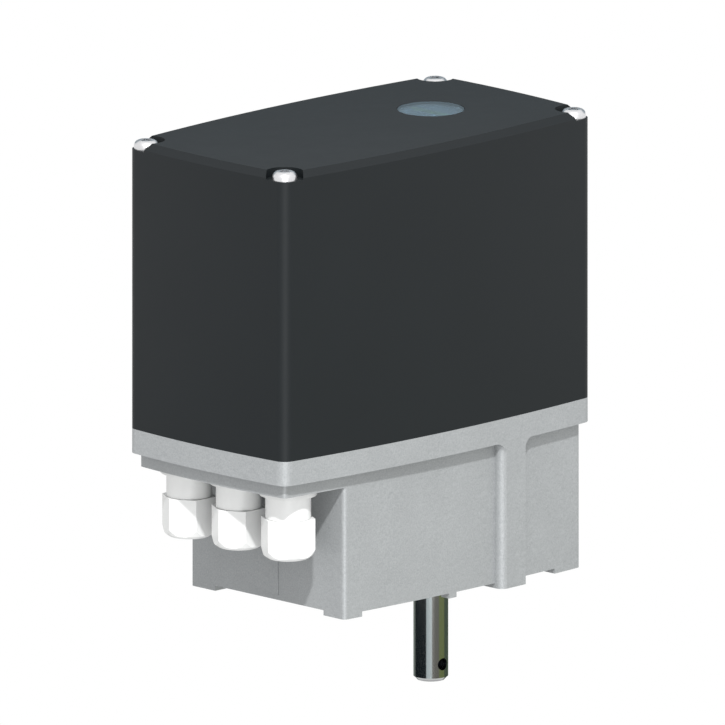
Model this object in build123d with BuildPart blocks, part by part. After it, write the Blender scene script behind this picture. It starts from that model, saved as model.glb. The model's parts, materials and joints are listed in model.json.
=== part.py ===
from build123d import *
import math
import os

# Motorized quarter-turn valve actuator, in millimetres.
# The origin is on the output shaft's axis, at the underside of the feet. +Z is up, through the
# position window. +X runs towards the shaft's end of the housing, so the cable glands are at -X.

os.makedirs("parts", exist_ok=True)

# Outline shared by the cover and the base flange: a rectangle with bowed sides
LENGTH = 171.6
WIDTH = 89.2
CENTRE_X = -39.65
SIDE_BOW = 5.0
END_BOW = 2.3
CORNER_R = 5.0

# Heights above the mounting plane
BODY_BOTTOM = 2.1
FLOOR_TOP = 7.1
TRAY_BOTTOM = 54.2
TRAY_FLOOR = 57.5
FLANGE_BOTTOM = 60.0
FLANGE_TOP = 70.0
COVER_TOP = 188.1

# Base casting
BODY_LEFT = -91.3
BODY_INSET = 3.2
BODY_BOW = 4.1
BODY_WALL = 4.0
CAVITY_INSET = 8.0
PILLAR_X = -1.0
PILLAR_WIDTH = 14.0
PILLAR_EDGE_R = 3.2
RIB_WIDTH = 12.6
RIB_HEIGHT = 0.35
BODY_CORNER_R = 1.8
FLARE_R = 4.0

# Cover
COVER_WALL = 3.5
COVER_RIM = 6.0
TOP_CHAMFER = 2.7
COLUMN_R = 9.0
SCREW_INSET = 5.0
SCREW_POCKET_R = 7.5
SCREW_SEAT = COVER_TOP - 3.5
SCREW_R = 2.5
SCREW_HEAD_R = 5.0
SCREW_HEAD = 3.5
SCREW_END = 61.0

# Position window, on the shaft's axis
WINDOW_R = 13.6
WINDOW_HOLE_R = 12.9
LENS_BOTTOM = COVER_TOP - 3.1
WINDOW_SEAT = LENS_BOTTOM - 0.9
WINDOW_BOSS_BOTTOM = 181.0

# Output shaft
SHAFT_R = 7.0
SHAFT_END = -45.6
CROSS_HOLE_R = 2.5
CROSS_HOLE_Z = -38.6
SEAL_JOURNAL_R = 7.3
JOURNAL_R = 8.0
CAM_SEAT_R = 6.0
TOP_POST_R = 3.0
CLEARANCE = 0.05

# Gear train: tooth counts, modules and centres
PRESSURE_ANGLE = math.radians(25)
BACKLASH = 0.16
OUTPUT_TEETH = 60
PINION_TEETH = 12
SECOND_TEETH = 48
FIRST_TEETH = 42
FEEDBACK_TEETH = 40
SENSOR_TEETH = 20
COARSE = 1.25
MIDDLE = 1.0
FINE = 0.8
AXLE_R = 2.5

# Levels in the gearbox and above it
GEAR_PLATE_BOTTOM = 48.0
GEAR_PLATE_TOP = 51.0
UPPER_PLATE_BOTTOM = 112.0
UPPER_PLATE_TOP = 115.0
OUTPUT_GEAR_BOTTOM = 24.0
OUTPUT_GEAR_TOP = 36.0

# Motor
MOTOR_R = 28.0
MOTOR_TOP = 94.0
MOTOR_SHAFT_R = 2.5

# Limit cams and switches
CAM_PITCH = 7.0
CAM_START = 122.5
CAM_R = 13.0
LOBE_R = 16.0
SWITCH_FACE_X = 26.0
LEVER_PIVOT = (24.6, -8.0)
ROLLER_CENTRE = (18.7, 0.0)
ROLLER_R = 2.2

# Cable glands
GLAND_X = -107.4
GLAND_SPACING = 28.3
GLAND_THREAD_R = 8.0
GLAND_NUT_FLATS = 19.5
GLAND_NUT_TOP = 42.2
GLAND_NUT_BOTTOM = 25.8
CABLE_R = 5.0

BASE = (Align.CENTER, Align.CENTER, Align.MIN)
HALF_X = LENGTH / 2
HALF_Y = WIDTH / 2


def four_places(x_low, x_high, y):
    """Four places in a rectangle that is symmetric about the XZ plane."""
    return [(x_low, -y), (x_high, -y), (x_low, y), (x_high, y)]


def along(centre, radius, degrees):
    """The place at a radius and direction from a centre."""
    angle = math.radians(degrees)
    return (centre[0] + radius * math.cos(angle), centre[1] + radius * math.sin(angle))


SCREW_PLACES = four_places(CENTRE_X - HALF_X + SCREW_INSET, CENTRE_X + HALF_X - SCREW_INSET,
                           HALF_Y - SCREW_INSET)
MOUNT_PLACES = four_places(-86.5, 36.5, 37.0)
LEFT_POSTS = [(-83.0, -36.0), (-83.0, 36.0)]
RIGHT_POSTS = [(30.0, -32.5), (30.0, 32.5)]
STANDOFF_PLACES = four_places(-30.0, 22.0, 30.0)
GLAND_PLACES = [(GLAND_X, GLAND_SPACING * row) for row in (-1, 0, 1)]
SHAFT = (0.0, 0.0)
SECOND = (-COARSE * (OUTPUT_TEETH + PINION_TEETH) / 2, 0.0)
FIRST = along(SECOND, MIDDLE * (SECOND_TEETH + PINION_TEETH) / 2, 140)
MOTOR = along(FIRST, FINE * (FIRST_TEETH + PINION_TEETH) / 2, -57.6)
SENSOR = along(SHAFT, MIDDLE * (FEEDBACK_TEETH + SENSOR_TEETH) / 2, -110)
CAM_LEVELS = [CAM_START + CAM_PITCH * index for index in range(4)]


def bowed_outline(inset, side_bow=SIDE_BOW):
    """The housing's outline, moved in by inset."""
    x, y = HALF_X - inset, HALF_Y - inset
    with BuildSketch() as face:
        with BuildLine():
            ThreePointArc((CENTRE_X - x, -y), (CENTRE_X, -y - side_bow), (CENTRE_X + x, -y))
            ThreePointArc((CENTRE_X + x, -y), (CENTRE_X + x + END_BOW, 0), (CENTRE_X + x, y))
            ThreePointArc((CENTRE_X + x, y), (CENTRE_X, y + side_bow), (CENTRE_X - x, y))
            ThreePointArc((CENTRE_X - x, y), (CENTRE_X - x - END_BOW, 0), (CENTRE_X - x, -y))
        make_face()
        fillet(face.vertices(), radius=max(CORNER_R - inset, 1.5))
    return face.sketch


def notched_outline(inset, notch_r):
    """The outline moved in by inset and going round the inner side of the four cover screws."""
    with BuildSketch() as face:
        add(bowed_outline(inset))
        with Locations(*SCREW_PLACES):
            Circle(notch_r, mode=Mode.SUBTRACT)
    return face.sketch


def body_outline(inset, left):
    """The deep body's plan: the outline moved in by inset, cut off square at its left end."""
    with BuildSketch() as face:
        add(bowed_outline(inset))
        with Locations((left - LENGTH / 2, 0)):
            Rectangle(LENGTH, 2 * WIDTH, mode=Mode.SUBTRACT)
        fillet(face.vertices().group_by(Axis.X)[0], radius=BODY_CORNER_R)
    return face.sketch


def involute(angle):
    """The involute function."""
    return math.tan(angle) - angle


def gear_outline(teeth, module, phase):
    """An involute spur gear's outline, with the middle of one tooth at phase degrees."""
    pitch_r = module * teeth / 2
    base_r = pitch_r * math.cos(PRESSURE_ANGLE)
    root_r = pitch_r - 1.25 * module
    start_r = max(base_r, root_r)
    half_tooth = (math.pi / 2 - BACKLASH) * module / (2 * pitch_r)
    flank = []
    for step in range(4):
        radius = start_r + (pitch_r + module - start_r) * step / 3
        roll = math.acos(base_r / radius)
        flank.append((radius, half_tooth + involute(PRESSURE_ANGLE) - involute(roll)))
    if root_r < base_r:
        flank.insert(0, (root_r, flank[0][1]))
    points = []
    for tooth in range(teeth):
        middle = math.radians(phase) + 2 * math.pi * tooth / teeth
        for radius, half in flank:
            points.append((radius * math.cos(middle - half), radius * math.sin(middle - half)))
        for radius, half in reversed(flank):
            points.append((radius * math.cos(middle + half), radius * math.sin(middle + half)))
    with BuildSketch() as face:
        with BuildLine():
            Polyline(*points, close=True)
        make_face()
    return face.sketch


def meshed_phase(driver, driver_teeth, driver_phase, driven, driven_teeth):
    """The phase that puts a gap of the driven gear round the driver's tooth on the centre line."""
    direction = math.degrees(math.atan2(driven[1] - driver[1], driven[0] - driver[0]))
    fraction = (direction - driver_phase) * driver_teeth / 360 % 1
    return direction + 180 + (fraction + 0.5) * 360 / driven_teeth


def disc(radius, low, high, places=(SHAFT,), mode=Mode.ADD):
    """Upright cylinders between two heights, one at each place."""
    with Locations(*[(x, y, low) for x, y in places]):
        Cylinder(radius, high - low, align=BASE, mode=mode)


def bore(radius, low, high, places=(SHAFT,)):
    """Upright holes between two heights, one at each place."""
    disc(radius, low, high, places, Mode.SUBTRACT)


def block(x, y, z, mode=Mode.ADD):
    """A box from its (low, high) pair along each axis."""
    with Locations((sum(x) / 2, sum(y) / 2, sum(z) / 2)):
        Box(x[1] - x[0], y[1] - y[0], z[1] - z[0], mode=mode)


def save(part, name):
    """Label a finished piece and write it as one node."""
    part.label = name
    export_step(part, f"parts/{name}.step")


# ---- Base casting -------------------------------------------------------------------------

# One pillar on each side, flush with the flange, with its outer edge on the left rounded
with BuildSketch() as pillar_plan:
    add(bowed_outline(-0.02))
    with Locations((PILLAR_X, 0)):
        Rectangle(PILLAR_WIDTH, 4 * WIDTH, mode=Mode.INTERSECT)
    fillet(pillar_plan.vertices().group_by(Axis.X)[0], radius=PILLAR_EDGE_R)

# The space outside the body and under the flange, left open by the pillars, which widen in a
# quarter-round where they meet the flange
with BuildPart() as side_recess:
    with BuildSketch(Plane.XY.offset(-1)):
        Rectangle(4 * LENGTH, 4 * WIDTH)
        add(bowed_outline(BODY_INSET, BODY_BOW), mode=Mode.SUBTRACT)
        add(pillar_plan.sketch, mode=Mode.SUBTRACT)
    extrude(amount=FLANGE_BOTTOM + 1)
    pillar_roots = side_recess.edges().group_by(Axis.Z)[-1].filter_by(Axis.Y)
    fillet(pillar_roots.filter_by_position(Axis.X, PILLAR_X - 8, PILLAR_X + 8), radius=FLARE_R)

# The space under the body, between the feet
with BuildPart() as foot_recess:
    with BuildSketch(Plane.XY.offset(-1)):
        Rectangle(4 * LENGTH, 4 * WIDTH)
        with Locations((-87.3, -40)):
            Rectangle(11, 16, mode=Mode.SUBTRACT)
        with Locations((35.5, -40), (35.5, 40)):
            Rectangle(16, 16, mode=Mode.SUBTRACT)
        with Locations((-87.3, 39)):
            Rectangle(11, 18, mode=Mode.SUBTRACT)
        with Locations((-32.1, -47)):
            Rectangle(4.2, 12, mode=Mode.SUBTRACT)
        with Locations((PILLAR_X, -HALF_Y), (PILLAR_X, HALF_Y)):
            Rectangle(PILLAR_WIDTH, 12, mode=Mode.SUBTRACT)
    extrude(amount=BODY_BOTTOM + 1)

with BuildPart() as base_housing:
    # The flange's outline all the way down, cut back to the deep body, pillars and feet
    with BuildSketch():
        add(bowed_outline(0))
    extrude(amount=FLANGE_TOP)
    add(side_recess.part, mode=Mode.SUBTRACT)
    block((BODY_LEFT - LENGTH, BODY_LEFT), (-WIDTH, WIDTH), (-1, TRAY_BOTTOM), Mode.SUBTRACT)
    left_corners = base_housing.edges().filter_by(Axis.Z).filter_by_position(Axis.X, BODY_LEFT - 0.1, BODY_LEFT + 0.1)
    fillet(left_corners, radius=BODY_CORNER_R)
    add(foot_recess.part, mode=Mode.SUBTRACT)
    # Rib down the middle of the left face
    block((BODY_LEFT - RIB_HEIGHT, BODY_LEFT + 1), (-RIB_WIDTH / 2, RIB_WIDTH / 2),
          (BODY_BOTTOM + 2, TRAY_BOTTOM + 1))
    # Gear space below, wiring space above it
    with BuildSketch(Plane.XY.offset(FLOOR_TOP)):
        add(body_outline(CAVITY_INSET, BODY_LEFT + BODY_WALL))
    extrude(amount=TRAY_FLOOR - FLOOR_TOP, mode=Mode.SUBTRACT)
    for bottom, top, notch_r in ((TRAY_FLOOR, FLANGE_TOP - 4, 6.5), (FLANGE_TOP - 4, FLANGE_TOP, COLUMN_R)):
        with BuildSketch(Plane.XY.offset(bottom)):
            add(notched_outline(CAVITY_INSET, notch_r))
        extrude(amount=top - bottom, mode=Mode.SUBTRACT)
    # Groove for the cover's gasket
    with BuildSketch(Plane.XY.offset(FLANGE_TOP)):
        add(notched_outline(3.5, 5.2))
        add(notched_outline(6.0, 7.5), mode=Mode.SUBTRACT)
    extrude(amount=-2, mode=Mode.SUBTRACT)
    # Bosses and posts inside
    disc(17, BODY_BOTTOM + 1, 21)
    disc(6, FLOOR_TOP - 1, 10.8, [SECOND, FIRST])
    disc(4.5, FLOOR_TOP - 1, GEAR_PLATE_BOTTOM, LEFT_POSTS)
    disc(4, FLOOR_TOP - 1, GEAR_PLATE_BOTTOM, RIGHT_POSTS)
    disc(4.5, FLOOR_TOP - 1, 14, MOUNT_PLACES)
    disc(4, TRAY_FLOOR - 1, 62, [(-96, 14)])
    # Bores and threaded holes
    bore(13, 0, 7)
    bore(11, 7, 21)
    bore(AXLE_R, 5, 10.8, [SECOND, FIRST])
    bore(1.65, GEAR_PLATE_BOTTOM - 12, GEAR_PLATE_BOTTOM, LEFT_POSTS + RIGHT_POSTS)
    bore(2.1, 0, 12, MOUNT_PLACES)
    bore(SCREW_R + CLEARANCE, SCREW_END - 0.5, FLANGE_TOP, SCREW_PLACES)
    bore(GLAND_THREAD_R, TRAY_BOTTOM, TRAY_FLOOR, GLAND_PLACES)
    bore(1.65, TRAY_FLOOR, 62, [(-96, 14)])
save(base_housing.part, "base_housing")

with BuildPart() as cover_gasket:
    with BuildSketch(Plane.XY.offset(FLANGE_TOP - 2)):
        add(notched_outline(3.6, 5.3))
        add(notched_outline(5.9, 7.4), mode=Mode.SUBTRACT)
    extrude(amount=1.95)
save(cover_gasket.part, "cover_gasket")

# ---- Cover, window and its screws ----------------------------------------------------------

with BuildPart() as cover_shell:
    with BuildSketch(Plane.XY.offset(FLANGE_TOP)):
        add(bowed_outline(0))
    extrude(amount=COVER_TOP - FLANGE_TOP)
    chamfer(cover_shell.faces().sort_by(Axis.Z)[-1].edges(), length=TOP_CHAMFER)
    with BuildSketch(Plane.XY.offset(FLANGE_TOP)):
        add(notched_outline(CAVITY_INSET, COLUMN_R + 1))
    extrude(amount=COVER_RIM, mode=Mode.SUBTRACT)
    with BuildSketch(Plane.XY.offset(FLANGE_TOP + COVER_RIM)):
        add(notched_outline(COVER_WALL, COLUMN_R))
    extrude(amount=COVER_TOP - COVER_WALL - FLANGE_TOP - COVER_RIM, mode=Mode.SUBTRACT)
    disc(WINDOW_R + 3, WINDOW_BOSS_BOTTOM, COVER_TOP - 1)
    bore(WINDOW_HOLE_R, WINDOW_BOSS_BOTTOM, COVER_TOP)
    bore(WINDOW_R, WINDOW_SEAT, COVER_TOP)
    bore(SCREW_POCKET_R, SCREW_SEAT, COVER_TOP, SCREW_PLACES)
    bore(SCREW_R + 0.2, FLANGE_TOP, COVER_TOP, SCREW_PLACES)
save(cover_shell.part, "cover_shell")

with BuildPart() as window_seal:
    disc(WINDOW_R, WINDOW_SEAT, LENS_BOTTOM)
    bore(WINDOW_HOLE_R, WINDOW_SEAT, LENS_BOTTOM)
save(window_seal.part, "window_seal")

with BuildPart() as window_lens:
    disc(WINDOW_R, LENS_BOTTOM, COVER_TOP)
    chamfer(window_lens.edges().group_by(Axis.Z)[-1], length=0.3)
save(window_lens.part, "window_lens")

with BuildPart() as cover_screws:
    disc(SCREW_R, SCREW_END, SCREW_SEAT, SCREW_PLACES)
    disc(SCREW_HEAD_R, SCREW_SEAT, SCREW_SEAT + SCREW_HEAD, SCREW_PLACES)
    fillet(cover_screws.edges().group_by(Axis.Z)[-1], radius=2.4)
    # Cross recess in each head
    for x, y in SCREW_PLACES:
        block((x - 2.5, x + 2.5), (y - 0.5, y + 0.5), (SCREW_SEAT + 1.5, COVER_TOP + 2), Mode.SUBTRACT)
        block((x - 0.5, x + 0.5), (y - 2.5, y + 2.5), (SCREW_SEAT + 1.5, COVER_TOP + 2), Mode.SUBTRACT)
save(cover_screws.part, "cover_screws")

# ---- Output shaft and what turns with it ---------------------------------------------------

CAM_STACK_TOP = CAM_START + 4 * CAM_PITCH
INDICATOR_BOTTOM = 182.2
INDICATOR_TOP = 184.2
with BuildPart() as output_shaft:
    disc(SHAFT_R, SHAFT_END, 0)
    chamfer(output_shaft.edges().group_by(Axis.Z)[0], length=1.5)
    disc(SEAL_JOURNAL_R, 0, 7)
    disc(JOURNAL_R, 7, 116.7)
    disc(CAM_SEAT_R, 116.7, 156)
    disc(TOP_POST_R, 156, INDICATOR_BOTTOM)
    # Cross hole for the coupling's pin
    with Locations(Location((0, 0, CROSS_HOLE_Z), (90, 0, 0))):
        Cylinder(CROSS_HOLE_R, 4 * SHAFT_R, mode=Mode.SUBTRACT)
    # Keyway and circlip groove
    block((5.8, 9), (-2.5, 2.5), (OUTPUT_GEAR_BOTTOM, OUTPUT_GEAR_TOP), Mode.SUBTRACT)
    with BuildSketch(Plane.XY.offset(OUTPUT_GEAR_TOP)):
        Circle(JOURNAL_R)
        Circle(JOURNAL_R - 0.6, mode=Mode.SUBTRACT)
    extrude(amount=1, mode=Mode.SUBTRACT)
save(output_shaft.part, "output_shaft")

with BuildPart() as output_gear:
    with BuildSketch(Plane.XY.offset(OUTPUT_GEAR_BOTTOM)):
        add(gear_outline(OUTPUT_TEETH, COARSE, 0))
    extrude(amount=OUTPUT_GEAR_TOP - OUTPUT_GEAR_BOTTOM)
    # Both faces are relieved between the rim and the hub, and the web has lightening holes
    for level in (OUTPUT_GEAR_BOTTOM, OUTPUT_GEAR_TOP - 3):
        with BuildSketch(Plane.XY.offset(level)):
            Circle(32)
            Circle(14, mode=Mode.SUBTRACT)
        extrude(amount=3, mode=Mode.SUBTRACT)
    with PolarLocations(23, 6, 30):
        Cylinder(5, 4 * (OUTPUT_GEAR_TOP - OUTPUT_GEAR_BOTTOM) + 60, mode=Mode.SUBTRACT)
    bore(JOURNAL_R, OUTPUT_GEAR_BOTTOM, OUTPUT_GEAR_TOP)
    block((5, 10.3), (-2.5, 2.5), (OUTPUT_GEAR_BOTTOM, OUTPUT_GEAR_TOP), Mode.SUBTRACT)
save(output_gear.part, "output_gear")

with BuildPart() as drive_key:
    block((5.8, 10.3), (-2.5, 2.5), (OUTPUT_GEAR_BOTTOM, OUTPUT_GEAR_TOP))
save(drive_key.part, "drive_key")

with BuildPart() as shaft_circlip:
    disc(JOURNAL_R + 2.4, OUTPUT_GEAR_TOP, OUTPUT_GEAR_TOP + 1)
    bore(JOURNAL_R - 0.6, OUTPUT_GEAR_TOP, OUTPUT_GEAR_TOP + 1)
    block((-12, -5), (-2, 2), (OUTPUT_GEAR_TOP, OUTPUT_GEAR_TOP + 1), Mode.SUBTRACT)
save(shaft_circlip.part, "shaft_circlip")

with BuildPart() as feedback_gear:
    with BuildSketch(Plane.XY.offset(117)):
        add(gear_outline(FEEDBACK_TEETH, MIDDLE, 0))
    extrude(amount=4)
    disc(9, 121, CAM_START)
    bore(CAM_SEAT_R, 117, CAM_START)
save(feedback_gear.part, "feedback_gear")

with BuildPart() as limit_cams:
    for index, level in enumerate(CAM_LEVELS):
        with BuildSketch(Plane.XY.offset(level + 1.5)):
            Circle(LOBE_R)
            with BuildLine():
                Polyline((0, 0), along(SHAFT, 30, 75 + 35 * index), along(SHAFT, 30, 135 + 35 * index), close=True)
            make_face(mode=Mode.INTERSECT)
            Circle(CAM_R)
        extrude(amount=4)
        disc(9, level, level + CAM_PITCH - 0.02)
        bore(CAM_SEAT_R, level, level + CAM_PITCH)
save(limit_cams.part, "limit_cams")

with BuildPart() as cam_nut:
    with BuildSketch(Plane.XY.offset(CAM_STACK_TOP)):
        RegularPolygon(10, 6)
        Circle(CAM_SEAT_R, mode=Mode.SUBTRACT)
    extrude(amount=4)
save(cam_nut.part, "cam_nut")

with BuildPart() as indicator_disc:
    disc(WINDOW_HOLE_R - 0.6, INDICATOR_BOTTOM, INDICATOR_TOP)
save(indicator_disc.part, "indicator_disc")

with BuildPart() as indicator_pointer:
    block((-1.6, 1.6), (-10.5, 10.5), (INDICATOR_TOP, INDICATOR_TOP + 0.4))
save(indicator_pointer.part, "indicator_pointer")

# ---- Shaft bearings and seal ---------------------------------------------------------------

with BuildPart() as lower_bush:
    disc(11, 7, 21)
    disc(13, 21, 22.8)
    bore(JOURNAL_R + CLEARANCE, 7, 22.8)
save(lower_bush.part, "lower_bush")

with BuildPart() as shaft_seal:
    disc(13, 2.4, 7)
    bore(SEAL_JOURNAL_R + CLEARANCE, 2.4, 7)
save(shaft_seal.part, "shaft_seal")

with BuildPart() as upper_bush:
    disc(11, UPPER_PLATE_BOTTOM, UPPER_PLATE_TOP)
    disc(14, UPPER_PLATE_TOP, UPPER_PLATE_TOP + 1.5)
    bore(JOURNAL_R + CLEARANCE, UPPER_PLATE_BOTTOM, UPPER_PLATE_TOP + 1.5)
save(upper_bush.part, "upper_bush")

# ---- Gear train ----------------------------------------------------------------------------

second_pinion_phase = meshed_phase(SHAFT, OUTPUT_TEETH, 0, SECOND, PINION_TEETH)
first_pinion_phase = meshed_phase(SECOND, SECOND_TEETH, 0, FIRST, PINION_TEETH)
motor_pinion_phase = meshed_phase(FIRST, FIRST_TEETH, 0, MOTOR, PINION_TEETH)
sensor_phase = meshed_phase(SHAFT, FEEDBACK_TEETH, 0, SENSOR, SENSOR_TEETH)

with BuildPart() as second_pinion:
    with BuildSketch(Plane((*SECOND, 23))):
        add(gear_outline(PINION_TEETH, COARSE, second_pinion_phase))
    extrude(amount=14)
    disc(5, 11, 23, [SECOND])
    bore(AXLE_R + CLEARANCE, 11, 37, [SECOND])
save(second_pinion.part, "second_pinion")

with BuildPart() as second_wheel:
    with BuildSketch(Plane((*SECOND, 12))):
        add(gear_outline(SECOND_TEETH, MIDDLE, 0))
        Circle(5, mode=Mode.SUBTRACT)
        with PolarLocations(14, 5):
            Circle(4, mode=Mode.SUBTRACT)
    extrude(amount=8)
save(second_wheel.part, "second_wheel")

with BuildPart() as first_pinion:
    with BuildSketch(Plane((*FIRST, 11))):
        add(gear_outline(PINION_TEETH, MIDDLE, first_pinion_phase))
    extrude(amount=11)
    disc(4.5, 22, 45, [FIRST])
    bore(AXLE_R + CLEARANCE, 11, 45, [FIRST])
save(first_pinion.part, "first_pinion")

with BuildPart() as first_wheel:
    with BuildSketch(Plane((*FIRST, 39))):
        add(gear_outline(FIRST_TEETH, FINE, 0))
        Circle(4.5, mode=Mode.SUBTRACT)
        with PolarLocations(10, 5):
            Circle(2.8, mode=Mode.SUBTRACT)
    extrude(amount=6)
save(first_wheel.part, "first_wheel")

# Fixed axles, each with a collar that keeps its gears down
with BuildPart() as gear_axles:
    disc(AXLE_R, 5, GEAR_PLATE_TOP, [SECOND, FIRST])
    disc(4, 37.2, GEAR_PLATE_BOTTOM, [SECOND])
    disc(4, 45.2, GEAR_PLATE_BOTTOM, [FIRST])
save(gear_axles.part, "gear_axles")

MOTOR_SCREW_PLACES = [along(MOTOR, 22, degrees) for degrees in (60, 180, 300)]
with BuildPart() as gear_plate:
    with BuildSketch(Plane.XY.offset(GEAR_PLATE_BOTTOM)) as plan:
        with Locations((-25, 0)):
            Rectangle(123, 74)
        fillet(plan.vertices().group_by(Axis.X)[-1], radius=10)
        fillet(plan.vertices().group_by(Axis.X)[0], radius=3)
    extrude(amount=GEAR_PLATE_TOP - GEAR_PLATE_BOTTOM)
    bore(12, GEAR_PLATE_BOTTOM, GEAR_PLATE_TOP)
    bore(AXLE_R, GEAR_PLATE_BOTTOM, GEAR_PLATE_TOP, [SECOND, FIRST])
    bore(6.5, GEAR_PLATE_BOTTOM, GEAR_PLATE_TOP, [MOTOR])
    bore(2, GEAR_PLATE_BOTTOM, GEAR_PLATE_TOP, LEFT_POSTS + RIGHT_POSTS + STANDOFF_PLACES)
    bore(2, GEAR_PLATE_BOTTOM, GEAR_PLATE_TOP, MOTOR_SCREW_PLACES)
save(gear_plate.part, "gear_plate")

with BuildPart() as gear_plate_screws:
    disc(1.65, GEAR_PLATE_BOTTOM - 9, GEAR_PLATE_TOP, LEFT_POSTS + RIGHT_POSTS)
    disc(3.5, GEAR_PLATE_TOP, GEAR_PLATE_TOP + 2.6, LEFT_POSTS + RIGHT_POSTS)
    for x, y in LEFT_POSTS + RIGHT_POSTS:
        block((x - 4, x + 4), (y - 0.5, y + 0.5), (GEAR_PLATE_TOP + 1.4, GEAR_PLATE_TOP + 3), Mode.SUBTRACT)
save(gear_plate_screws.part, "gear_plate_screws")

# ---- Motor ---------------------------------------------------------------------------------

with BuildPart() as motor_can:
    disc(MOTOR_R, GEAR_PLATE_TOP, MOTOR_TOP, [MOTOR])
    fillet(motor_can.edges().group_by(Axis.Z)[0], radius=1.5)
    bore(MOTOR_R - 1.5, GEAR_PLATE_TOP + 3, MOTOR_TOP, [MOTOR])
    bore(6, GEAR_PLATE_TOP, GEAR_PLATE_TOP + 3, [MOTOR])
    bore(1.65, GEAR_PLATE_TOP, GEAR_PLATE_TOP + 3, MOTOR_SCREW_PLACES)
save(motor_can.part, "motor_can")

with BuildPart() as motor_end_bell:
    disc(MOTOR_R, MOTOR_TOP, MOTOR_TOP + 3, [MOTOR])
    fillet(motor_end_bell.edges().group_by(Axis.Z)[-1], radius=1.5)
    bore(6, MOTOR_TOP, MOTOR_TOP + 3, [MOTOR])
save(motor_end_bell.part, "motor_end_bell")

with BuildPart() as motor_bearings:
    disc(6, GEAR_PLATE_TOP, GEAR_PLATE_TOP + 5, [MOTOR])
    disc(6, MOTOR_TOP - 3, MOTOR_TOP + 2, [MOTOR])
    bore(MOTOR_SHAFT_R + CLEARANCE, GEAR_PLATE_TOP, MOTOR_TOP + 2, [MOTOR])
save(motor_bearings.part, "motor_bearings")

with BuildPart() as motor_stator:
    disc(MOTOR_R - 1.5, GEAR_PLATE_TOP + 7, MOTOR_TOP - 6, [MOTOR])
    bore(14, GEAR_PLATE_TOP + 7, MOTOR_TOP - 6, [MOTOR])
save(motor_stator.part, "motor_stator")

with BuildPart() as motor_rotor:
    disc(13.5, GEAR_PLATE_TOP + 8, MOTOR_TOP - 7, [MOTOR])
    bore(MOTOR_SHAFT_R, GEAR_PLATE_TOP + 8, MOTOR_TOP - 7, [MOTOR])
save(motor_rotor.part, "motor_rotor")

with BuildPart() as motor_shaft:
    disc(MOTOR_SHAFT_R, 38.5, MOTOR_TOP + 1, [MOTOR])
save(motor_shaft.part, "motor_shaft")

with BuildPart() as motor_pinion:
    with BuildSketch(Plane((*MOTOR, 38.5))):
        add(gear_outline(PINION_TEETH, FINE, motor_pinion_phase))
        Circle(MOTOR_SHAFT_R, mode=Mode.SUBTRACT)
    extrude(amount=8)
save(motor_pinion.part, "motor_pinion")

with BuildPart() as motor_screws:
    disc(1.65, GEAR_PLATE_BOTTOM, GEAR_PLATE_TOP + 3, MOTOR_SCREW_PLACES)
    disc(3.2, GEAR_PLATE_BOTTOM - 2.4, GEAR_PLATE_BOTTOM, MOTOR_SCREW_PLACES)
save(motor_screws.part, "motor_screws")

# ---- Upper deck: standoffs, plate, position sensor and switches -----------------------------

with BuildPart() as standoffs:
    disc(4, GEAR_PLATE_TOP, UPPER_PLATE_BOTTOM, STANDOFF_PLACES)
    disc(2, GEAR_PLATE_BOTTOM - 3, GEAR_PLATE_TOP, STANDOFF_PLACES)
    bore(1.65, UPPER_PLATE_BOTTOM - 9, UPPER_PLATE_BOTTOM, STANDOFF_PLACES)
save(standoffs.part, "standoffs")

with BuildPart() as upper_plate:
    with BuildSketch(Plane.XY.offset(UPPER_PLATE_BOTTOM)):
        RectangleRounded(74, 74, 13)
    extrude(amount=UPPER_PLATE_TOP - UPPER_PLATE_BOTTOM)
    bore(11, UPPER_PLATE_BOTTOM, UPPER_PLATE_TOP)
    bore(4, UPPER_PLATE_BOTTOM, UPPER_PLATE_TOP, [SENSOR])
    bore(2, UPPER_PLATE_BOTTOM, UPPER_PLATE_TOP, STANDOFF_PLACES)
save(upper_plate.part, "upper_plate")

with BuildPart() as upper_plate_screws:
    disc(1.65, UPPER_PLATE_BOTTOM - 7, UPPER_PLATE_TOP, STANDOFF_PLACES)
    disc(3.5, UPPER_PLATE_TOP, UPPER_PLATE_TOP + 2.6, STANDOFF_PLACES)
save(upper_plate_screws.part, "upper_plate_screws")

with BuildPart() as position_sensor:
    disc(9, UPPER_PLATE_BOTTOM - 14, UPPER_PLATE_BOTTOM, [SENSOR])
    disc(4, UPPER_PLATE_BOTTOM, UPPER_PLATE_TOP + 1.6, [SENSOR])
    block((SENSOR[0] - 5, SENSOR[0] + 5), (SENSOR[1] - 11, SENSOR[1] - 7),
          (UPPER_PLATE_BOTTOM - 11, UPPER_PLATE_BOTTOM - 8))
    bore(TOP_POST_R + CLEARANCE, UPPER_PLATE_BOTTOM - 10, UPPER_PLATE_TOP + 1.6, [SENSOR])
save(position_sensor.part, "position_sensor")

with BuildPart() as sensor_gear:
    with BuildSketch(Plane((*SENSOR, 117))):
        add(gear_outline(SENSOR_TEETH, MIDDLE, sensor_phase))
    extrude(amount=4)
    disc(TOP_POST_R, UPPER_PLATE_BOTTOM - 9, 117, [SENSOR])
save(sensor_gear.part, "sensor_gear")

with BuildPart() as switch_bracket:
    block((SWITCH_FACE_X, SWITCH_FACE_X + 10), (-10, 10), (UPPER_PLATE_TOP, CAM_START))
    bore(1.2, UPPER_PLATE_TOP, CAM_START, [(33.5, -6), (33.5, 6)])
save(switch_bracket.part, "switch_bracket")

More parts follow.
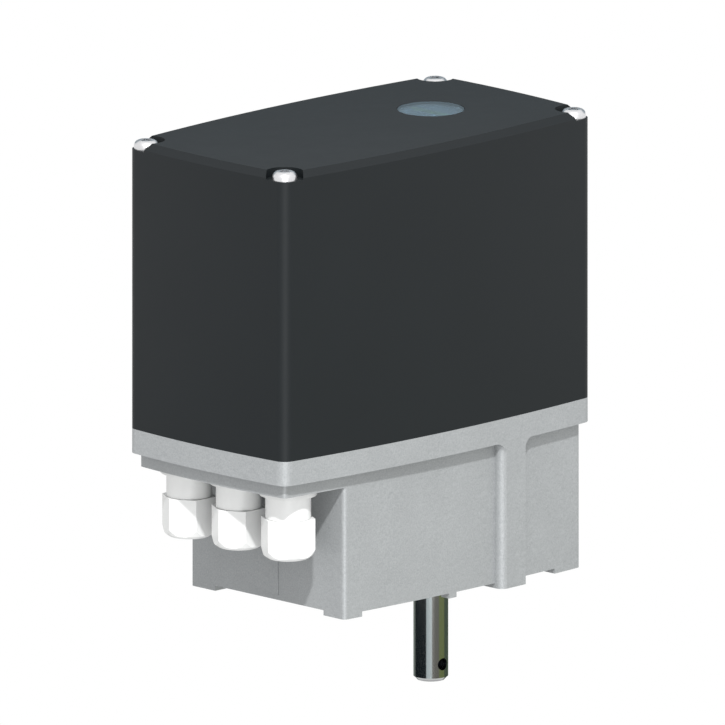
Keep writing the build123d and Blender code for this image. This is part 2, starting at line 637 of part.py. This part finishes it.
with BuildPart() as limit_switches:
    for level in CAM_LEVELS:
        top = level + CAM_PITCH - 0.02
        block((SWITCH_FACE_X, SWITCH_FACE_X + 10), (-10, 10), (level, top))
        # Lugs and the lever's pin between them, and the plunger that the lever presses
        for lug in ((level, level + 1.2), (top - 1.2, top)):
            block((LEVER_PIVOT[0] - 1.5, SWITCH_FACE_X), (-9.8, -6.2), lug)
        block((SWITCH_FACE_X - 0.8, SWITCH_FACE_X), (-2, 0), (level + 2.5, level + 4.5))
        disc(0.65, level, top, [LEVER_PIVOT])
    bore(1.2, CAM_START, CAM_STACK_TOP, [(33.5, -6), (33.5, 6)])
save(limit_switches.part, "limit_switches")

with BuildPart() as switch_screws:
    disc(1.2, UPPER_PLATE_TOP, CAM_STACK_TOP, [(33.5, -6), (33.5, 6)])
    disc(2.2, CAM_STACK_TOP, CAM_STACK_TOP + 1.8, [(33.5, -6), (33.5, 6)])
save(switch_screws.part, "switch_screws")

for index, level in enumerate(CAM_LEVELS):
    with BuildPart() as switch_lever:
        low, high = level + 1.4, level + 5.4
        with BuildSketch(Plane.XY.offset(low)):
            with BuildLine():
                Polyline((LEVER_PIVOT[0] - 0.9, LEVER_PIVOT[1]), (LEVER_PIVOT[0] - 0.3, LEVER_PIVOT[1] + 0.9),
                         (ROLLER_CENTRE[0] + 1.0, 0.4), (ROLLER_CENTRE[0] + 0.4, -0.4), close=True)
            make_face()
            with Locations(LEVER_PIVOT):
                Circle(1.4)
            with Locations(ROLLER_CENTRE):
                Circle(ROLLER_R)
            with Locations(LEVER_PIVOT):
                Circle(0.7, mode=Mode.SUBTRACT)
        extrude(amount=high - low)
    save(switch_lever.part, f"switch_lever_{index + 1}")

# ---- Wiring side: bracket, circuit board, terminals, capacitor, earth screw ------------------

BRACKET_X = (-86.8, -85.0)
BOARD_X = (-92.0, -90.4)
BOARD_SCREW_PLACES = [(y, z) for y in (-30, 30) for z in (80, 145)]
STRIP_LEVELS = (84, 112)
POLE_PITCH = 6.5
POLE_ROWS = [POLE_PITCH * (pole - 4.5) for pole in range(10)]

with BuildPart() as terminal_bracket:
    block(BRACKET_X, (-36, 36), (GEAR_PLATE_TOP, 150))
    block((BRACKET_X[1], -72), (-36, -30), (GEAR_PLATE_TOP, GEAR_PLATE_TOP + 2))
    block((BRACKET_X[1], -72), (30, 36), (GEAR_PLATE_TOP, GEAR_PLATE_TOP + 2))
    bore(4.2, GEAR_PLATE_TOP, GEAR_PLATE_TOP + 3, LEFT_POSTS)
    for y, z in BOARD_SCREW_PLACES:
        with Locations(Location((BRACKET_X[0], y, z), (0, 90, 0))):
            Cylinder(1.5, 4, mode=Mode.SUBTRACT)
save(terminal_bracket.part, "terminal_bracket")

with BuildPart() as circuit_board:
    block(BOARD_X, (-34, 34), (75, 149))
    for y, z in BOARD_SCREW_PLACES:
        with Locations(Location((BOARD_X[0], y, z), (0, 90, 0))):
            Cylinder(1.5, 4, mode=Mode.SUBTRACT)
save(circuit_board.part, "circuit_board")

with BuildPart() as board_spacers:
    for y, z in BOARD_SCREW_PLACES:
        with Locations(Location(((BOARD_X[1] + BRACKET_X[0]) / 2, y, z), (0, 90, 0))):
            Cylinder(3, BRACKET_X[0] - BOARD_X[1])
            Cylinder(1.5, 4, mode=Mode.SUBTRACT)
save(board_spacers.part, "board_spacers")

with BuildPart() as board_screws:
    for y, z in BOARD_SCREW_PLACES:
        with Locations(Location((BOARD_X[0] + 3.4, y, z), (0, 90, 0))):
            Cylinder(1.5, 6.8)
        with Locations(Location((BOARD_X[0] - 1, y, z), (0, 90, 0))):
            Cylinder(2.8, 2)
save(board_screws.part, "board_screws")

with BuildPart() as terminal_strips:
    for z in STRIP_LEVELS:
        block((BOARD_X[0] - 10, BOARD_X[0]), (-POLE_PITCH * 5, POLE_PITCH * 5), (z, z + 15))
        for y in POLE_ROWS:
            with Locations(Location((BOARD_X[0] - 9, y, z + 10), (0, 90, 0))):
                Cylinder(2.2, 8, mode=Mode.SUBTRACT)
            block((BOARD_X[0] - 10, BOARD_X[0] - 4), (y - 2, y + 2), (z, z + 5), Mode.SUBTRACT)
save(terminal_strips.part, "terminal_strips")

with BuildPart() as terminal_screws:
    for z in STRIP_LEVELS:
        for y in POLE_ROWS:
            with Locations(Location((BOARD_X[0] - 6.5, y, z + 10), (0, 90, 0))):
                Cylinder(2.2, 3)
save(terminal_screws.part, "terminal_screws")

CAPACITOR = (-71.0, 0.0)
with BuildPart() as run_capacitor:
    disc(12.5, MOTOR_TOP + 5, MOTOR_TOP + 53, [CAPACITOR])
    fillet(run_capacitor.edges().group_by(Axis.Z)[-1], radius=2)
    disc(1.5, MOTOR_TOP + 52, MOTOR_TOP + 58, [(-71, -5), (-71, 5)])
save(run_capacitor.part, "run_capacitor")

with BuildPart() as capacitor_clip:
    disc(13.6, 118, 128, [CAPACITOR])
    block((BRACKET_X[1], -71), (-7, 7), (118, 128))
    bore(12.5, 118, 128, [CAPACITOR])
save(capacitor_clip.part, "capacitor_clip")

with BuildPart() as earth_screw:
    disc(1.65, TRAY_FLOOR, 62, [(-96, 14)])
    disc(3.5, 62, 64.6, [(-96, 14)])
    block((-100, -92), (13.5, 14.5), (63.4, 65), Mode.SUBTRACT)
save(earth_screw.part, "earth_screw")

# ---- Cable glands --------------------------------------------------------------------------

NUT_CORNER_R = GLAND_NUT_FLATS / math.sqrt(3)
NECK_R = 8.6
with BuildPart() as gland_bodies:
    disc(11.5, 51.7, TRAY_BOTTOM, GLAND_PLACES)
    disc(GLAND_THREAD_R, TRAY_BOTTOM, 64, GLAND_PLACES)
    disc(9.2, GLAND_NUT_TOP + 0.1, 51.7, GLAND_PLACES)
    disc(NECK_R, 31, 51.7, GLAND_PLACES)
    bore(6.5, 31, 64, GLAND_PLACES)
save(gland_bodies.part, "gland_bodies")

with BuildPart() as gland_locknuts:
    with BuildSketch(Plane.XY.offset(TRAY_FLOOR)):
        with Locations(*GLAND_PLACES):
            Circle(9.4)
            Rectangle(22, 2.5, mode=Mode.SUBTRACT)
            Rectangle(2.5, 22, mode=Mode.SUBTRACT)
            Circle(8.8)
            Circle(GLAND_THREAD_R, mode=Mode.SUBTRACT)
    extrude(amount=4)
save(gland_locknuts.part, "gland_locknuts")

with BuildPart() as gland_seals:
    disc(6.5, 31, 47, GLAND_PLACES)
    bore(CABLE_R, 31, 47, GLAND_PLACES)
save(gland_seals.part, "gland_seals")

for index, (x, y) in enumerate(GLAND_PLACES):
    with BuildPart() as gland_nut:
        with BuildSketch(Plane((x, y, GLAND_NUT_BOTTOM))):
            RegularPolygon(NUT_CORNER_R, 6)
        extrude(amount=GLAND_NUT_TOP - GLAND_NUT_BOTTOM)
        # Turned lead-in on the lower end: a cone cuts the six corners back
        with BuildSketch(Plane((x, y, 0), x_dir=(1, 0, 0), z_dir=(0, -1, 0))):
            with BuildLine():
                Polyline((0, GLAND_NUT_BOTTOM), (8.2, GLAND_NUT_BOTTOM), (9.9, GLAND_NUT_BOTTOM + 1.2),
                         (NUT_CORNER_R + 0.1, GLAND_NUT_BOTTOM + 4), (NUT_CORNER_R + 0.1, GLAND_NUT_TOP),
                         (0, GLAND_NUT_TOP), close=True)
            make_face()
        revolve(axis=Axis((x, y, 0), (0, 0, 1)), mode=Mode.INTERSECT)
        bore(NECK_R + CLEARANCE, 30.5, GLAND_NUT_TOP, [(x, y)])
        bore(6.2, GLAND_NUT_BOTTOM, 30.5, [(x, y)])
        chamfer(gland_nut.edges().filter_by(GeomType.CIRCLE).group_by(Axis.Z)[0].sort_by(SortBy.RADIUS)[0], length=1)
    save(gland_nut.part, f"gland_nut_{index + 1}")
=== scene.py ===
"""Looks of the motorized valve actuator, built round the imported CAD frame. Lengths are in metres."""
import json
import math

import bpy
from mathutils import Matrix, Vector


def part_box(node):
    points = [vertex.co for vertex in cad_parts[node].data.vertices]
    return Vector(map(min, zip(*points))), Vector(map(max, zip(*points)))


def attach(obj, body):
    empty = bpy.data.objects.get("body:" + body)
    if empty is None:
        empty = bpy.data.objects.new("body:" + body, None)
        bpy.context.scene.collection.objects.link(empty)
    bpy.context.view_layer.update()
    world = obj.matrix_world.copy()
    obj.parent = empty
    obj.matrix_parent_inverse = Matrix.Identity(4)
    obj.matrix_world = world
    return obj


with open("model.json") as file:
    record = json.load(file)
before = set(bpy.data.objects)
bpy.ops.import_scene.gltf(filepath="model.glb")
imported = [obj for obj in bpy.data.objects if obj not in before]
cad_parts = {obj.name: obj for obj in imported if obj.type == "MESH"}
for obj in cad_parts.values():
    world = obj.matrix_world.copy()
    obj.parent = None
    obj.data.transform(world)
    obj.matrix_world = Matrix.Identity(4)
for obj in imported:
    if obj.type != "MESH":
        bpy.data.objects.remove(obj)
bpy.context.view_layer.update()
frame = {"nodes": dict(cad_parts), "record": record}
nodes = frame["nodes"]
scene = bpy.context.scene
scene.view_settings.view_transform = "Standard"

# ---- Camera: parallel view from above the near left corner -------------------------------------

VIEW_AZIMUTH = math.radians(-44.34)
VIEW_ELEVATION = math.radians(12.78)
VIEW_WIDTH = 0.290
VIEW_CENTRE = Vector((-0.0382, 0.0, 0.0901))
VIEW_DISTANCE = 1.5


def view_back():
    """The direction from the object to the camera."""
    return Vector((
        math.sin(VIEW_AZIMUTH) * math.cos(VIEW_ELEVATION),
        -math.cos(VIEW_AZIMUTH) * math.cos(VIEW_ELEVATION),
        math.sin(VIEW_ELEVATION),
    ))


def make_camera():
    """The camera that looks at the whole object."""
    data = bpy.data.cameras.new("camera")
    data.type = "ORTHO"
    data.ortho_scale = VIEW_WIDTH
    camera = bpy.data.objects.new("camera", data)
    scene.collection.objects.link(camera)
    camera.location = VIEW_CENTRE + view_back() * VIEW_DISTANCE
    camera.rotation_euler = view_back().to_track_quat("Z", "Y").to_euler()
    scene.camera = camera


# ---- Shader helpers ----------------------------------------------------------------------------

# Where most of a noise's values lie
NOISE_LOW = 0.3
NOISE_HIGH = 0.7


def new_material(name, **values):
    """A material whose Principled shader has these plain socket values."""
    material = bpy.data.materials.new(name)
    material.use_nodes = True
    shader = material.node_tree.nodes["Principled BSDF"]
    for socket, value in values.items():
        shader.inputs[socket.replace("_", " ")].default_value = value
    return material, shader


def add_node(material, kind, **settings):
    """A shader node with these values on its sockets, or on itself where it has no such socket."""
    node = material.node_tree.nodes.new(kind)
    for key, value in settings.items():
        if key in node.inputs:
            node.inputs[key].default_value = value
        else:
            setattr(node, key, value)
    return node


def link(material, source, target):
    """Lead one socket into another."""
    material.node_tree.links.new(source, target)


def object_coordinates(material):
    """The place on the object, in metres."""
    return add_node(material, "ShaderNodeTexCoord").outputs["Object"]


def noise(material, scale, detail=4.0, roughness=0.6):
    """A cloudy value with about that many blobs per metre."""
    node = add_node(material, "ShaderNodeTexNoise", Scale=scale, Detail=detail, Roughness=roughness)
    link(material, object_coordinates(material), node.inputs["Vector"])
    return node.outputs["Fac"]


def ramp(material, value, low, high, start=0.0, end=1.0):
    """A colour that goes from low to high while the value goes from start to end."""
    node = add_node(material, "ShaderNodeValToRGB")
    node.color_ramp.elements[0].position = start
    node.color_ramp.elements[0].color = low
    node.color_ramp.elements[1].position = end
    node.color_ramp.elements[1].color = high
    link(material, value, node.inputs["Fac"])
    return node.outputs["Color"]


def grey(level):
    """An opaque grey, which also serves as a plain value."""
    return (level, level, level, 1.0)


def bump(material, shader, height, strength, distance, before=None):
    """A relief that deep on the shader, added to the relief before it."""
    node = add_node(material, "ShaderNodeBump", Strength=strength, Distance=distance)
    link(material, height, node.inputs["Height"])
    if before is not None:
        link(material, before.outputs["Normal"], node.inputs["Normal"])
    link(material, node.outputs["Normal"], shader.inputs["Normal"])
    return node


def varied(material, shader, colour, share, scale):
    """Base colour with a slow variation of that share."""
    low = tuple(level * (1 - share) for level in colour) + (1.0,)
    high = tuple(min(1.0, level * (1 + share)) for level in colour) + (1.0,)
    clouds = noise(material, scale)
    link(material, ramp(material, clouds, low, high, NOISE_LOW, NOISE_HIGH), shader.inputs["Base Color"])


# ---- Materials ---------------------------------------------------------------------------------


def cast_aluminium():
    """Die-cast aluminium with a fine speckled grain, an orange peel and soft blotches."""
    dark_grain = (0.262, 0.274, 0.280, 1.0)
    light_grain = (0.336, 0.348, 0.354, 1.0)
    material, shader = new_material("cast_aluminium", Metallic=0.3, Specular_IOR_Level=0.5)
    grain = noise(material, scale=1500, detail=3, roughness=0.7)
    blotch = noise(material, scale=45, detail=5, roughness=0.6)
    peel = noise(material, scale=420, detail=2, roughness=0.5)
    mixed = add_node(material, "ShaderNodeMix", data_type="RGBA", blend_type="MULTIPLY")
    mixed.inputs["Factor"].default_value = 1.0
    first_colour, second_colour = mixed.inputs[6], mixed.inputs[7]
    mixed_colour = mixed.outputs[2]
    link(material, ramp(material, grain, dark_grain, light_grain, NOISE_LOW, NOISE_HIGH), first_colour)
    link(material, ramp(material, blotch, grey(0.93), grey(1.0), NOISE_LOW, NOISE_HIGH), second_colour)
    link(material, mixed_colour, shader.inputs["Base Color"])
    link(material, ramp(material, grain, grey(0.40), grey(0.56)), shader.inputs["Roughness"])
    waves = bump(material, shader, blotch, strength=0.25, distance=0.0004)
    orange_peel = bump(material, shader, peel, strength=0.6, distance=0.00025, before=waves)
    bump(material, shader, grain, strength=0.4, distance=0.00014, before=orange_peel)
    return material


def moulded(name, colour, roughness, coat=0.0, gloss=0.45):
    """Moulded plastic: near-uniform colour, slight smears, a fine spark-eroded texture."""
    material, shader = new_material(name, Specular_IOR_Level=gloss, Coat_Weight=coat, Coat_Roughness=0.2)
    varied(material, shader, colour, share=0.05, scale=30)
    smear = noise(material, scale=60, detail=6)
    smooth, rough = grey(roughness - 0.05), grey(roughness + 0.05)
    link(material, ramp(material, smear, smooth, rough), shader.inputs["Roughness"])
    texture = noise(material, scale=2600, detail=2)
    bump(material, shader, texture, strength=0.06, distance=0.00006)
    return material


def metal(name, colour, roughness, streak=(1.0, 1.0, 1.0), depth=0.08, metallic=1.0):
    """Machined or plated metal; a streak below 1 stretches its fine tool marks along that axis."""
    material, shader = new_material(name, Metallic=metallic)
    varied(material, shader, colour, share=0.08, scale=80)
    mapping = add_node(material, "ShaderNodeMapping", Scale=streak)
    link(material, object_coordinates(material), mapping.inputs["Vector"])
    marks = add_node(material, "ShaderNodeTexNoise", Scale=700.0, Detail=3.0)
    link(material, mapping.outputs["Vector"], marks.inputs["Vector"])
    smooth, rough = grey(roughness - 0.08), grey(roughness + 0.1)
    link(material, ramp(material, marks.outputs["Fac"], smooth, rough), shader.inputs["Roughness"])
    bump(material, shader, marks.outputs["Fac"], strength=depth, distance=0.00005)
    return material


def distance_from_shaft_axis(material):
    """How far a place on the object is from the upright axis through the origin."""
    place = add_node(material, "ShaderNodeSeparateXYZ")
    link(material, object_coordinates(material), place.inputs["Vector"])
    level_place = add_node(material, "ShaderNodeCombineXYZ")
    link(material, place.outputs["X"], level_place.inputs["X"])
    link(material, place.outputs["Y"], level_place.inputs["Y"])
    length = add_node(material, "ShaderNodeVectorMath", operation="LENGTH")
    link(material, level_place.outputs["Vector"], length.inputs[0])
    return length.outputs["Value"]


def polished_steel():
    """Ground and polished steel; what lies nearer the axis than the ground surface, such as the inside of
    the cross hole, is dull and carries a dark painted shade.
    """
    hole_shade_to, ground_from = 0.0066, 0.0069
    # Painted shade: the dark colour near the axis stands in for the shade inside the cross hole, not for
    # the colour of the steel.
    painted_hole_shade = (0.035, 0.04, 0.055, 1.0)
    ground_colour = (0.66, 0.67, 0.66, 1.0)
    material, shader = new_material("polished_steel", Metallic=1.0)
    distance = distance_from_shaft_axis(material)
    colour = ramp(material, distance, painted_hole_shade, ground_colour, hole_shade_to, ground_from)
    roughness = ramp(material, distance, grey(0.35), grey(0.07), hole_shade_to, ground_from)
    link(material, colour, shader.inputs["Base Color"])
    link(material, roughness, shader.inputs["Roughness"])
    return material


def tinted_lens():
    """Clear plastic with a blue-grey tint."""
    material, shader = new_material("tinted_lens", Roughness=0.10, Transmission_Weight=0.92, IOR=1.45)
    varied(material, shader, (0.35, 0.475, 0.56), share=0.04, scale=40)
    return material


def black_rubber():
    """Dull rubber with a slight grain."""
    material, shader = new_material("black_rubber", Specular_IOR_Level=0.3)
    varied(material, shader, (0.02, 0.02, 0.021), share=0.2, scale=60)
    patches = noise(material, scale=300)
    link(material, ramp(material, patches, grey(0.6), grey(0.8)), shader.inputs["Roughness"])
    bump(material, shader, noise(material, scale=1500), strength=0.15, distance=0.00008)
    return material


def make_materials():
    """Every material of the object, under its name."""
    upright_marks = (1, 1, 0.1)
    lengthwise_marks = (0.05, 1, 1)
    return {
        "cast_aluminium": cast_aluminium(),
        "cover_plastic": moulded("cover_plastic", (0.0058, 0.0079, 0.0092), 0.52, gloss=0.25),
        "tinted_lens": tinted_lens(),
        "black_rubber": black_rubber(),
        "screw_steel": metal("screw_steel", (0.74, 0.74, 0.75), 0.3, depth=0.02),
        "polished_steel": polished_steel(),
        "gear_steel": metal("gear_steel", (0.42, 0.42, 0.41), 0.32, upright_marks),
        "sheet_steel": metal("sheet_steel", (0.62, 0.61, 0.56), 0.30, lengthwise_marks),
        "bronze": metal("bronze", (0.72, 0.47, 0.20), 0.28, upright_marks),
        "motor_steel": metal("motor_steel", (0.10, 0.10, 0.105), 0.42, metallic=0.5),
        "black_plastic": moulded("black_plastic", (0.022, 0.022, 0.024), 0.45),
        "white_plastic": moulded("white_plastic", (0.64, 0.645, 0.64), 0.38, gloss=0.3),
        "board_green": moulded("board_green", (0.015, 0.13, 0.05), 0.3, coat=0.4),
        "terminal_plastic": moulded("terminal_plastic", (0.50, 0.51, 0.47), 0.5),
        "relay_blue": moulded("relay_blue", (0.02, 0.09, 0.28), 0.4),
        "resistor_tan": moulded("resistor_tan", (0.46, 0.33, 0.20), 0.45),
        "indicator_grey": moulded("indicator_grey", (0.25, 0.30, 0.34), 0.5),
        "indicator_green": moulded("indicator_green", (0.30, 0.42, 0.12), 0.5),
    }


def paint_cad():
    """Give every CAD node the material of its slot."""
    for part in frame["record"]["subparts"]:
        node = nodes[part["node"]]
        node.data.materials.clear()
        node.data.materials.append(materials[part["material_slot"]])


# ---- Rounded edges -----------------------------------------------------------------------------

# Width of the rounding on the CAD nodes that show it
EDGE_ROUNDING = {
    "cover_shell": 0.0005,
    "gear_plate": 0.0003,
    "upper_plate": 0.0003,
    "terminal_bracket": 0.0003,
    "limit_switches": 0.0003,
    "terminal_strips": 0.0003,
    "gland_nut_1": 0.0007,
    "gland_nut_2": 0.0007,
    "gland_nut_3": 0.0007,
}


def add_rounding(piece, width):
    """Round the edges of a piece."""
    bevel = piece.modifiers.new("rounding", "BEVEL")
    bevel.width = width
    bevel.segments = 2
    return bevel


def round_cad_edges():
    """Break the sharp edges of the CAD nodes, as moulding and tumbling do."""
    for name, width in EDGE_ROUNDING.items():
        bevel = add_rounding(nodes[name], width)
        bevel.limit_method = "ANGLE"
        bevel.angle_limit = math.radians(35)
        bevel.use_clamp_overlap = True


# ---- Pieces added to the CAD, which all ride on the housing ------------------------------------


def finish_piece(piece, name, look, rounding):
    """Name a piece, give it its look and rounded edges, and let it ride on the housing."""
    piece.name = name
    piece.data.materials.append(materials[look])
    if rounding:
        add_rounding(piece, rounding)
    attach(piece, "housing")


def add_box(name, low, high, look, rounding=0.0003):
    """A rounded box between two corners."""
    centre = [(near + far) / 2 for near, far in zip(low, high)]
    bpy.ops.mesh.primitive_cube_add(size=1, location=centre)
    piece = bpy.context.object
    piece.scale = [far - near for near, far in zip(low, high)]
    bpy.ops.object.transform_apply(location=False, rotation=False, scale=True)
    finish_piece(piece, name, look, rounding)


def add_rod(name, start, end, radius, look, rounding=0.0003, sides=32):
    """A rounded cylinder between two places."""
    start = Vector(start)
    end = Vector(end)
    bpy.ops.mesh.primitive_cylinder_add(radius=radius, depth=(end - start).length, vertices=sides,
                                        location=(start + end) / 2)
    piece = bpy.context.object
    piece.rotation_euler = (end - start).to_track_quat("Z", "Y").to_euler()
    piece.data.shade_smooth()
    piece.data.set_sharp_from_angle(angle=math.radians(40))
    finish_piece(piece, name, look, rounding)


# The board's components stand on its left face, which faces the glands, in three rows. The rows'
# heights are over the board's lower edge, and sizes are given as depth, width and height.
UPPER_ROW = 0.0555
MIDDLE_ROW = 0.0262
LOWER_ROW = 0.0015
RELAY = (0.0095, 0.013, 0.0125)
CHIP = (0.0022, 0.009, 0.0065)
TRIMMER = (0.0045, 0.006, 0.006)
FUSE_HOLDER = (0.006, 0.022, 0.0057)


def add_component(name, face, middle, bottom, size, look, rounding=0.0003):
    """A box on the board's face, by the middle of its width and its lower edge."""
    depth, width, height = size
    add_box(name, (face - depth, middle - width / 2, bottom), (face, middle + width / 2, bottom + height),
            look, rounding)


def fit_relays(face, bottom):
    """Three relays side by side."""
    for index in range(3):
        add_component(f"relay_{index + 1}", face, -0.020 + 0.0175 * index, bottom, RELAY, "relay_blue",
                      rounding=0.0005)


def fit_filter_capacitors(face, bottom):
    """Two round capacitors, one over the other, beside the relays."""
    y, length, radius, spacing = 0.0275, 0.009, 0.0027, 0.0075
    for index in range(2):
        z = bottom + 0.0015 + spacing * index
        add_rod(f"filter_capacitor_{index + 1}", (face, y, z), (face - length, y, z), radius,
                "black_plastic", rounding=0.0004)


def fit_chips(face, bottom):
    """Three flat chips side by side."""
    for index in range(3):
        add_component(f"chip_{index + 1}", face, -0.024 + 0.0125 * index, bottom, CHIP, "black_plastic")


def fit_resistors(face, bottom):
    """Six upright resistors, held a little off the board."""
    x = face - 0.0013
    low, high = bottom + 0.0005, bottom + 0.0065
    for index in range(6):
        y = 0.010 + 0.0035 * index
        add_rod(f"resistor_{index + 1}", (x, y, low), (x, y, high), 0.0011, "resistor_tan",
                rounding=0.0004, sides=20)


def fit_trimmers(face, bottom):
    """Two trimmers, each with a screw in the middle of its front."""
    depth, _, height = TRIMMER
    for index in range(2):
        y = -0.0275 + 0.0085 * index
        z = bottom + height / 2
        add_component(f"trimmer_{index + 1}", face, y, bottom, TRIMMER, "relay_blue")
        add_rod(f"trimmer_screw_{index + 1}", (face - depth + 0.0001, y, z), (face - depth - 0.0005, y, z),
                0.0015, "bronze", rounding=0)


def fit_fuse(face, bottom):
    """A round fuse that lies in the front of its holder."""
    middle, half_length = 0.003, 0.009
    x, z = face - 0.0068, bottom + 0.0029
    add_component("fuse_holder", face, middle, bottom, FUSE_HOLDER, "black_plastic")
    add_rod("fuse", (x, middle - half_length, z), (x, middle + half_length, z), 0.0021, "screw_steel",
            sides=24)


def fit_status_lights(face, bottom):
    """Two small green lights."""
    z, length, radius = bottom + 0.003, 0.0035, 0.0013
    for index in range(2):
        y = 0.0195 + 0.006 * index
        add_rod(f"status_light_{index + 1}", (face, y, z), (face - length, y, z), radius,
                "indicator_green", rounding=0.0005, sides=20)


def fit_circuit_board():
    """Fill the board's rows, which lie over, between and under the terminal strips."""
    board_low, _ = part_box("circuit_board")
    face, _, lower_edge = board_low
    fit_relays(face, lower_edge + UPPER_ROW)
    fit_filter_capacitors(face, lower_edge + UPPER_ROW)
    fit_chips(face, lower_edge + MIDDLE_ROW)
    fit_resistors(face, lower_edge + MIDDLE_ROW)
    fit_trimmers(face, lower_edge + LOWER_ROW)
    fit_fuse(face, lower_edge + LOWER_ROW)
    fit_status_lights(face, lower_edge + LOWER_ROW)


def fit_motor_rings(can_low, can_high):
    """Two rolled beads round the motor can."""
    middle = (can_low + can_high) / 2
    radius = (can_high.x - can_low.x) / 2
    for index, height in enumerate((can_low.z + 0.004, can_high.z - 0.0045)):
        bpy.ops.mesh.primitive_torus_add(major_radius=radius, minor_radius=0.0006, major_segments=96,
                                         minor_segments=10, location=(middle.x, middle.y, height))
        ring = bpy.context.object
        ring.data.shade_smooth()
        finish_piece(ring, f"motor_ring_{index + 1}", "motor_steel", rounding=0)


def fit_motor_ribs(centre):
    """Eight cast ribs in a star on the motor's end bell."""
    count, inner, outer, radius = 8, 0.011, 0.021, 0.0008
    for index in range(count):
        angle = 2 * math.pi * (index + 0.5) / count
        direction = Vector((math.cos(angle), math.sin(angle), 0))
        add_rod(f"motor_rib_{index + 1}", centre + direction * inner, centre + direction * outer, radius,
                "motor_steel", rounding=0.0002, sides=12)


def fit_motor():
    """The beads round the motor can and the ribs on its end bell."""
    can_low, can_high = [Vector(corner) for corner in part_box("motor_can")]
    _, bell_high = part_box("motor_end_bell")
    fit_motor_rings(can_low, can_high)
    middle = (can_low + can_high) / 2
    fit_motor_ribs(Vector((middle.x, middle.y, bell_high[2] + 0.0001)))


# ---- Light -------------------------------------------------------------------------------------


def add_sun(name, travel, strength, angle):
    """A sun whose light travels that way and comes from a disc that many degrees wide."""
    data = bpy.data.lights.new(name, "SUN")
    data.energy = strength
    data.angle = math.radians(angle)
    lamp = bpy.data.objects.new(name, data)
    scene.collection.objects.link(lamp)
    lamp.rotation_euler = Vector(travel).to_track_quat("-Z", "Y").to_euler()


def make_light():
    """A white studio, a hard key light from high over the camera and a soft one from below it."""
    world = bpy.data.worlds.new("studio")
    world.use_nodes = True
    background = world.node_tree.nodes["Background"]
    background.inputs["Color"].default_value = grey(1.0)
    background.inputs["Strength"].default_value = 1.0
    scene.world = world
    add_sun("key", (0.84, 0.97, -1.42), strength=4.2, angle=3)
    add_sun("front", (0.64, 0.77, 0.08), strength=0.95, angle=30)


# ---- Reflection cards --------------------------------------------------------------------------

# Upright cards that only mirror-like surfaces see. Each one stands on a ring round the shaft, over
# some degrees counted to the right from the direction of the camera, between two heights.
CARD_DISTANCE = 0.5
CARD_STEP = 6
LOW = (-0.40, -0.085)
HIGH = (0.215, 0.50)
CARDS = (
    ("card_edge", -170, -124, LOW, (0.22, 0.25, 0.23)),
    ("card_black", -124, -30, LOW, (0.012, 0.017, 0.020)),
    ("card_silver", -30, 8, LOW, (0.62, 0.70, 0.72)),
    ("card_brown", 8, 56, LOW, (0.19, 0.185, 0.165)),
    ("card_olive", 56, 100, LOW, (0.20, 0.24, 0.10)),
    ("card_green", 100, 170, LOW, (0.09, 0.12, 0.085)),
    ("card_back", 120, 240, HIGH, (0.22, 0.28, 0.32)),
)


def card_corner(degrees, height):
    """A place on the ring of cards."""
    angle = VIEW_AZIMUTH + math.radians(degrees)
    return (math.sin(angle) * CARD_DISTANCE, -math.cos(angle) * CARD_DISTANCE, height)


def card_mesh(name, start, end, heights):
    """A curved upright strip between two directions."""
    steps = round((end - start) / CARD_STEP)
    turns = [start + (end - start) * step / steps for step in range(steps + 1)]
    corners = [card_corner(turn, height) for turn in turns for height in heights]
    faces = [(2 * step, 2 * step + 1, 2 * step + 3, 2 * step + 2) for step in range(steps)]
    mesh = bpy.data.meshes.new(name)
    mesh.from_pydata(corners, [], faces)
    return mesh


def card_material(name, colour):
    """A surface that glows evenly and reflects nothing."""
    material, _ = new_material(name, Base_Color=grey(0.0), Roughness=1.0, Specular_IOR_Level=0.0,
                               Emission_Color=colour + (1.0,), Emission_Strength=1.0)
    return material


def make_cards():
    """The ring of cards, hidden from all but reflections."""
    for name, start, end, heights, colour in CARDS:
        card = bpy.data.objects.new(name, card_mesh(name, start, end, heights))
        scene.collection.objects.link(card)
        card.data.materials.append(card_material(name, colour))
        card.visible_camera = False
        card.visible_diffuse = False
        card.visible_transmission = False
        card.visible_shadow = False


make_camera()
make_light()
make_cards()
materials = make_materials()
paint_cad()
round_cad_edges()
fit_circuit_board()
fit_motor()
